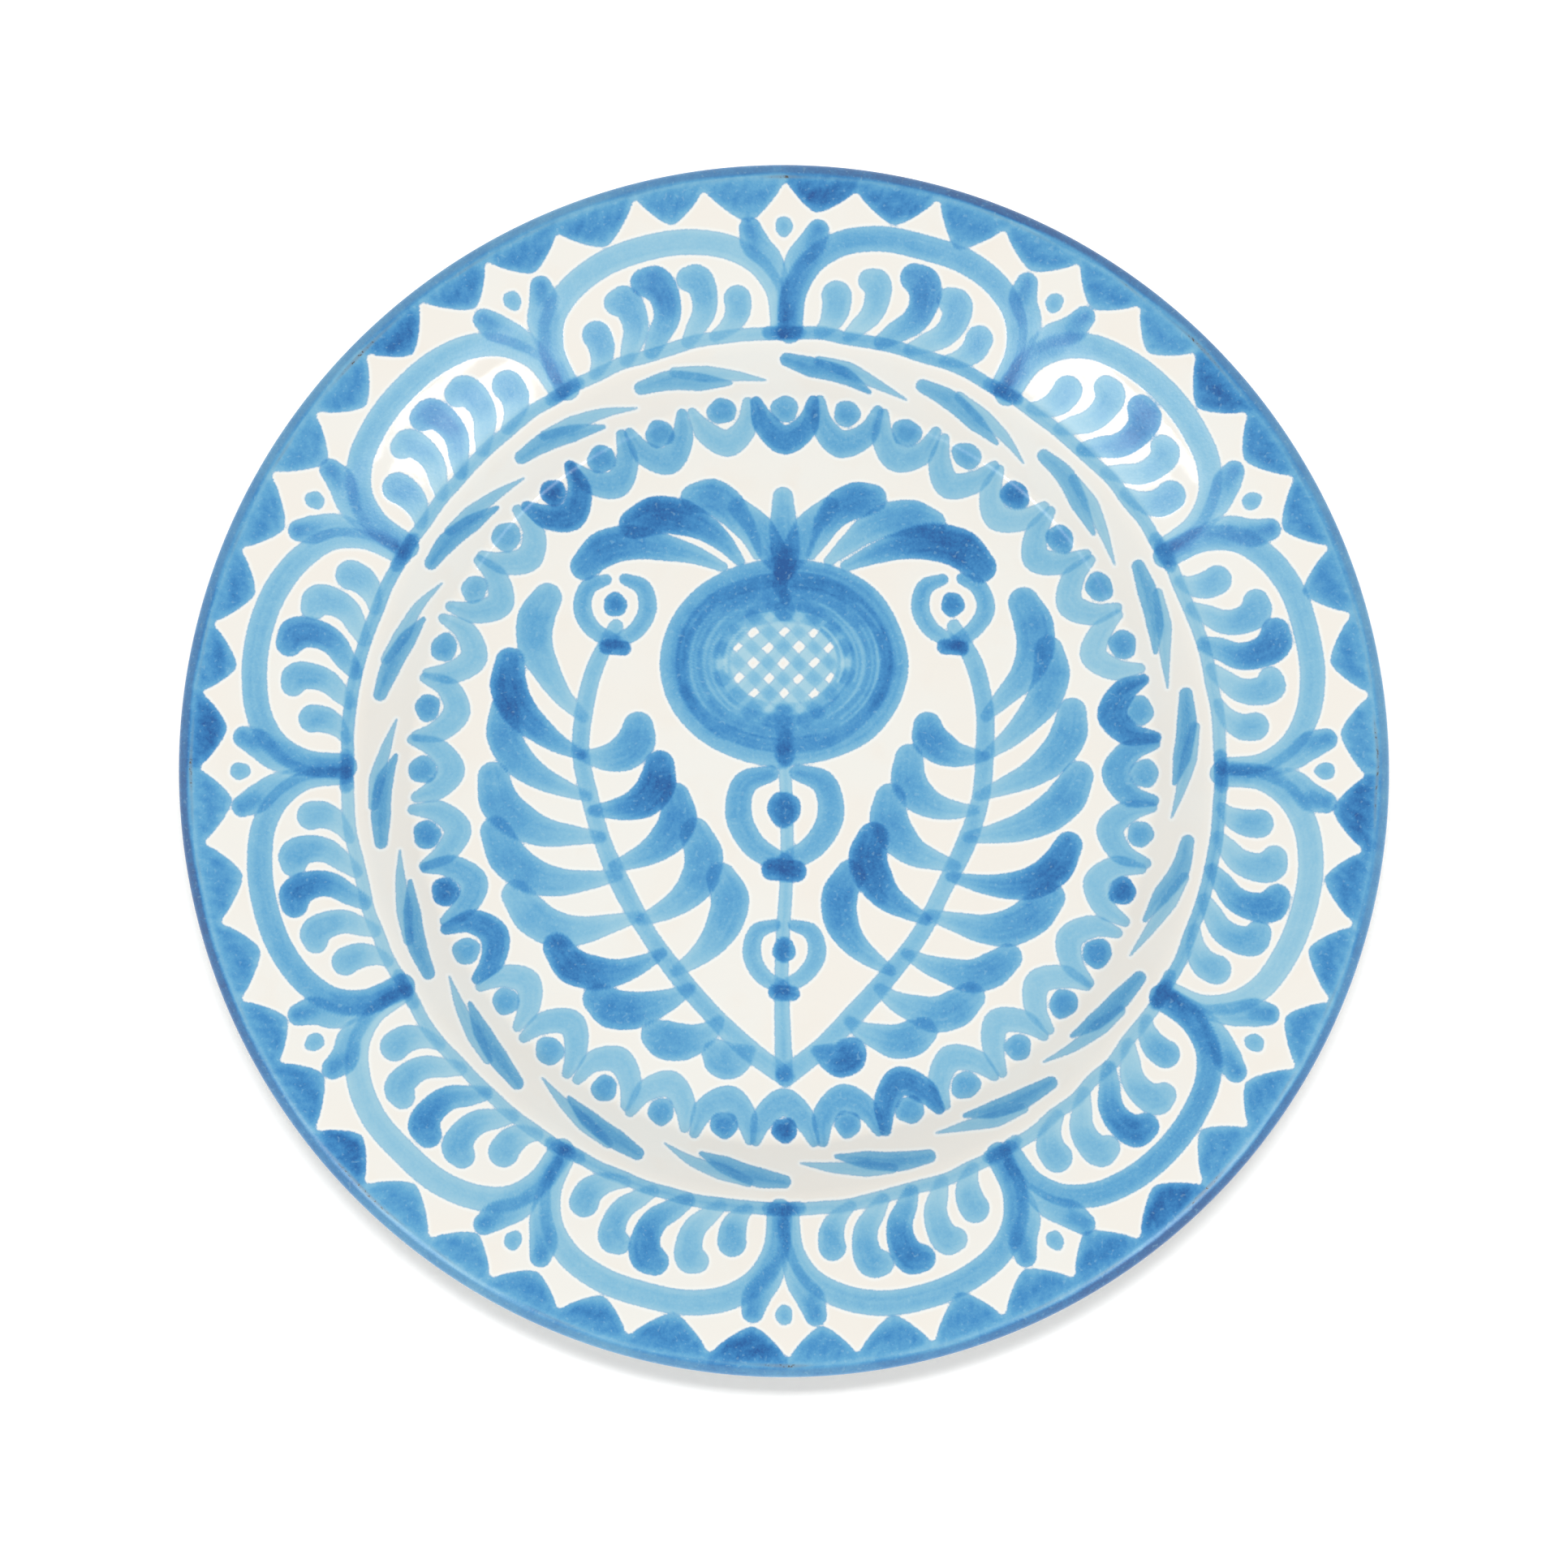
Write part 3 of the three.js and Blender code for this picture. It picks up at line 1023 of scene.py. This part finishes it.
def bare_clay():
    """Buff earthenware, fired and wiped, with grog and turning scratches."""
    graph = Graph("bare_clay")
    colour = graph.mix(graph.noise(9, 4), screen_colour(203, 160, 124), screen_colour(222, 186, 150))
    grog = graph.step(graph.noise(0.7, 2), 0.62, 0.72, 0, 0.7)
    colour = graph.mix(grog, colour, screen_colour(150, 104, 76))
    scratch = graph.noise(0.5, 2, 0.7, stretch=(0.2, 0.2, 4.0))
    normal = graph.bump(graph.calculate("ADD", graph.noise(0.5, 3), scratch), 0.10)
    return graph.finish(colour, graph.step(graph.noise(4, 2), 0.3, 0.7, 0.72, 0.92), normal)


def floor_paper():
    graph = Graph("floor_paper")
    colour = graph.mix(graph.noise(120, 2), (0.93, 0.93, 0.93, 1), (0.96, 0.96, 0.96, 1))
    return graph.finish(colour, 0.8, graph.bump(graph.noise(1.2, 2), 0.02))


# ---------------------------------------------------------------- the pieces

def finish_piece(piece, material, node):
    piece.data.materials.append(material)
    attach(piece, "root")
    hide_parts(node)
    return piece


def make_face(canvas, material):
    """The face's coat: a fine shown side and a plain side against the clay."""
    top = face_line(0.5)
    under = lowered(face_line(4.0), GLAZE)[::-1]
    outside = [max(rounds(under[0][0], FINEST) // 2 ** k, 192) for k in range(len(under))]
    counts = [1] + [rounds(radius, FINEST) for radius, _ in top[1:]]
    counts += [min(outside[k], rounds(radius, FINEST)) for k, (radius, _) in enumerate(under[:-1])] + [1]
    line = np.concatenate([top, under])
    piece, flat, loops, shown = lathe("painted_face", line, counts, len(top))
    x, y = folded(flat, False)
    carry_paint(piece, canvas, x, y)
    lay_out(piece, x, y, loops, shown)
    return finish_piece(piece, material, "face_glaze")


def make_lip(canvas, material):
    """The band round the lip."""
    outer = lip_line(0, 33)
    inner = lip_line(GLAZE, 9)[::-1]
    line = np.concatenate([outer, inner])
    piece, flat, loops, shown = lathe("blue_lip", line, [FINEST] * len(line), len(outer), closed=True)
    over = flat[:, 2] < LIP_HEIGHT
    x, y = folded(flat, over)
    carry_paint(piece, canvas, x, y)
    lay_out(piece, x, y, loops, shown)
    return finish_piece(piece, material, "lip_band")


def make_back(canvas, material):
    """The back's coat. The painting reaches a little way on to it from the lip."""
    shown_side = back_line(0.7)
    inside = lowered(back_line(4.0), -GLAZE)[::-1]
    line = np.concatenate([shown_side, inside])
    piece, flat, loops, shown = lathe("glazed_back", line, [ROUND] * len(line), len(shown_side), closed=True,
                                      unevenness=thrown_back)
    x, y = folded(flat, True)
    carry_paint(piece, canvas, x, y)
    lay_out(piece, flat[:, 0], flat[:, 1], loops, shown)
    return finish_piece(piece, material, "back_glaze")


def thrown_back(x, y, z):
    """The back's unevenness: the same plate, with deeper throwing rings, runs of glaze that
    thicken towards the foot, and three shallow marks of the fingers that dipped it."""
    radius = np.hypot(x, y)
    bearing = np.arctan2(x, y)
    free = smooth(radius, 79, 84) * (1 - smooth(radius, 138, 145))
    rings = 0.14 * np.sin(2 * math.pi * radius / 6.2 + bearing) * (1 + 0.4 * np.sin(3 * bearing))
    runs = 0.10 * smooth(110 - radius, 0, 24) * np.sin(23 * bearing + 2 * np.sin(5 * bearing))
    fingers = sum(
        0.25 * np.exp(-((radius - 128) / 7) ** 2 - (np.angle(np.exp(1j * (bearing - turn))) / 0.05) ** 2)
        for turn in (0.9, 1.12, -2.3))
    new_x, new_y, new_z = thrown(x, y, z)
    return new_x, new_y, new_z - (rings + runs - fingers) * free


def make_recess(material):
    """The glaze inside the foot, with the spiral that the turning tool left."""
    line_out = np.concatenate([[(FOOT_INNER, RECESS_HEIGHT)],
                               straight((FOOT_INNER, RECESS_HEIGHT), (0, RECESS_HEIGHT), 0.8)])
    line_back = lowered(line_out[::-1], -GLAZE)
    line = np.concatenate([line_out, line_back])
    counts = [rounds(radius, PLAIN) if radius else 1 for radius, _ in line]
    piece, flat, loops, shown = lathe("recess_glaze", line, counts, len(line_out), unevenness=spiralled)
    lay_out(piece, flat[:, 0] * 2, flat[:, 1] * 2, loops, shown)
    return finish_piece(piece, material, "foot_recess_glaze")


def spiralled(x, y, z):
    radius = np.hypot(x, y)
    bearing = np.arctan2(x, y)
    free = smooth(radius, 1, 5) * (1 - smooth(radius, 66, FOOT_INNER))
    lower = z < RECESS_HEIGHT + GLAZE / 2
    spiral = 0.12 * np.sin(2 * math.pi * radius / 5.4 - bearing)
    nub = 0.5 * np.exp(-(radius / 5) ** 2)
    return x, y, z + (spiral * free - nub) * lower


def make_foot(material):
    """The turned foot, its edges softened and its land worn and chipped."""
    land_in, land_out = FOOT_LAND
    top = RECESS_HEIGHT + GLAZE
    corners = [(FOOT_INNER, top), (FOOT_OUTER, top), (FOOT_OUTER, RECESS_HEIGHT),
               (land_out + FOOT_BEVEL, FOOT_BEVEL), (land_out, 0), (land_in, 0),
               (land_in - FOOT_BEVEL, FOOT_BEVEL), (FOOT_INNER, RECESS_HEIGHT)]
    line = np.concatenate([straight(start, end, 0.45)
                           for start, end in zip(corners, corners[1:] + corners[:1])])
    piece, *_ = lathe("turned_foot", line, [ROUND] * len(line), 0, closed=True, unevenness=turned)
    return finish_piece(piece, material, "foot_ring")


def turned(x, y, z):
    """Fine grooves of the turning tool on the foot's sides, and small chips on its land."""
    radius = np.hypot(x, y)
    bearing = np.arctan2(x, y)
    side = smooth(z, 0.3, 1.2) * (1 - smooth(z, 4.6, 5.4))
    middle = (FOOT_INNER + FOOT_OUTER) / 2
    outward = np.sign(radius - middle)
    groove = 0.10 * np.sin(2 * math.pi * z / 1.3 + bearing) + 0.05 * waves(x, y, 6, 31)
    chip = 0.35 * smooth(waves(x, y, 3.2, 32), 1.3, 2.2) * (1 - smooth(z, 0, 1.1))
    grow = 1 + (groove * side * outward - chip * outward) / radius
    return x * grow, y * grow, z + chip * 0.5


def make_body(material):
    """The clay under the glaze."""
    face = lowered(face_line(2.0), GLAZE)
    lip = lip_line(GLAZE, 11)[1:-1]
    back = lowered(back_line(2.0), -GLAZE)
    recess = RECESS_HEIGHT + GLAZE
    under = straight((FOOT_OUTER, recess), (0, recess), 2.0)
    line = np.concatenate([face, lip, back, under])
    counts = [rounds(radius, PLAIN) if radius else 1 for radius, _ in line]
    piece, *_ = lathe("thrown_body", line, counts, 0)
    return finish_piece(piece, material, "clay_body")


# ---------------------------------------------------------------- the room

LOOK_AT = Vector((0, -3.2, LIP_HEIGHT)) * MM
VIEW_WIDTH = 388.3 * MM
VIEW_DISTANCE = 4.0
SENSOR = 36
WORLD_STRENGTH = 0.84
SOFTBOX_TILT = math.radians(31)       # from straight up
SOFTBOX_DISTANCE = 1.6
SOFTBOX_SIZE = (0.26, 0.46)
SOFTBOX_POWER = 3.0
FLOOR_LAMP_DISTANCE = 3.0
FLOOR_LAMP_SIZE = (0.7, 0.3)
FLOOR_LAMP_POWER = 60


def make_camera():
    """Straight down on to the plate, as in a catalogue picture."""
    data = bpy.data.cameras.new("camera")
    data.sensor_width = SENSOR
    data.lens = SENSOR * VIEW_DISTANCE / VIEW_WIDTH
    data.clip_end = 20
    camera = add_object("camera", data)
    camera.location = LOOK_AT + Vector((0, 0, VIEW_DISTANCE))
    bpy.context.scene.camera = camera


def make_softbox(name, towards, distance, size, power):
    """A soft light that looks at the plate from the given direction."""
    data = bpy.data.lights.new(name, "AREA")
    data.shape = "RECTANGLE"
    data.size, data.size_y = size
    data.energy = power
    lamp = add_object(name, data)
    direction = Vector(towards).normalized()
    lamp.location = LOOK_AT + direction * distance
    lamp.rotation_euler = direction.to_track_quat("Z", "Y").to_euler()
    return lamp


def make_floor():
    """A pale floor, a little uneven like paper."""
    reach, count = 3.0, 61
    ticks = np.linspace(-reach, reach, count)
    corners = [(x, y, 0) for y in ticks for x in ticks]
    faces = [(i * count + j, i * count + j + 1, (i + 1) * count + j + 1, (i + 1) * count + j)
             for i in range(count - 1) for j in range(count - 1)]
    mesh = bpy.data.meshes.new("floor")
    mesh.from_pydata(corners, [], faces)
    mesh.materials.append(floor_paper())
    floor = add_object("floor", mesh)
    return floor


def light_only(lamp, name, objects):
    """Keeps a lamp's light to these objects."""
    group = bpy.data.collections.new(name)
    for piece in objects:
        group.objects.link(piece)
    lamp.light_linking.receiver_collection = group


def make_room(plate):
    """White walls all round, two softboxes that the glaze mirrors, and a wide lamp behind the
    plate that whitens the floor and leaves the plate's shadow on the near side."""
    world = bpy.data.worlds.new("room")
    world.use_nodes = True
    background = world.node_tree.nodes["Background"]
    background.inputs["Color"].default_value = (1.0, 1.0, 1.0, 1.0)
    background.inputs["Strength"].default_value = WORLD_STRENGTH
    bpy.context.scene.world = world
    for name, bearing in (("softbox_left", 222), ("softbox_right", 138.5)):
        turn = math.radians(bearing)
        direction = (math.sin(SOFTBOX_TILT) * math.sin(turn), math.sin(SOFTBOX_TILT) * math.cos(turn),
                     math.cos(SOFTBOX_TILT))
        lamp = make_softbox(name, direction, SOFTBOX_DISTANCE, SOFTBOX_SIZE, SOFTBOX_POWER)
        light_only(lamp, name + "_lights", plate)
    floor_lamp = make_softbox("floor_lamp", (0, 0.13, 1), FLOOR_LAMP_DISTANCE, FLOOR_LAMP_SIZE,
                              FLOOR_LAMP_POWER)
    light_only(floor_lamp, "floor_lamp_lights", [make_floor()])
    bpy.context.scene.view_settings.view_transform = "Standard"


# ---------------------------------------------------------------- everything together

painting = paint()
painted = painted_glaze()
white = white_glaze()
clay = bare_clay()
plate = [make_face(painting, painted), make_lip(painting, painted), make_back(painting, painted),
         make_recess(white), make_foot(clay), make_body(clay)]
make_room(plate)
make_camera()
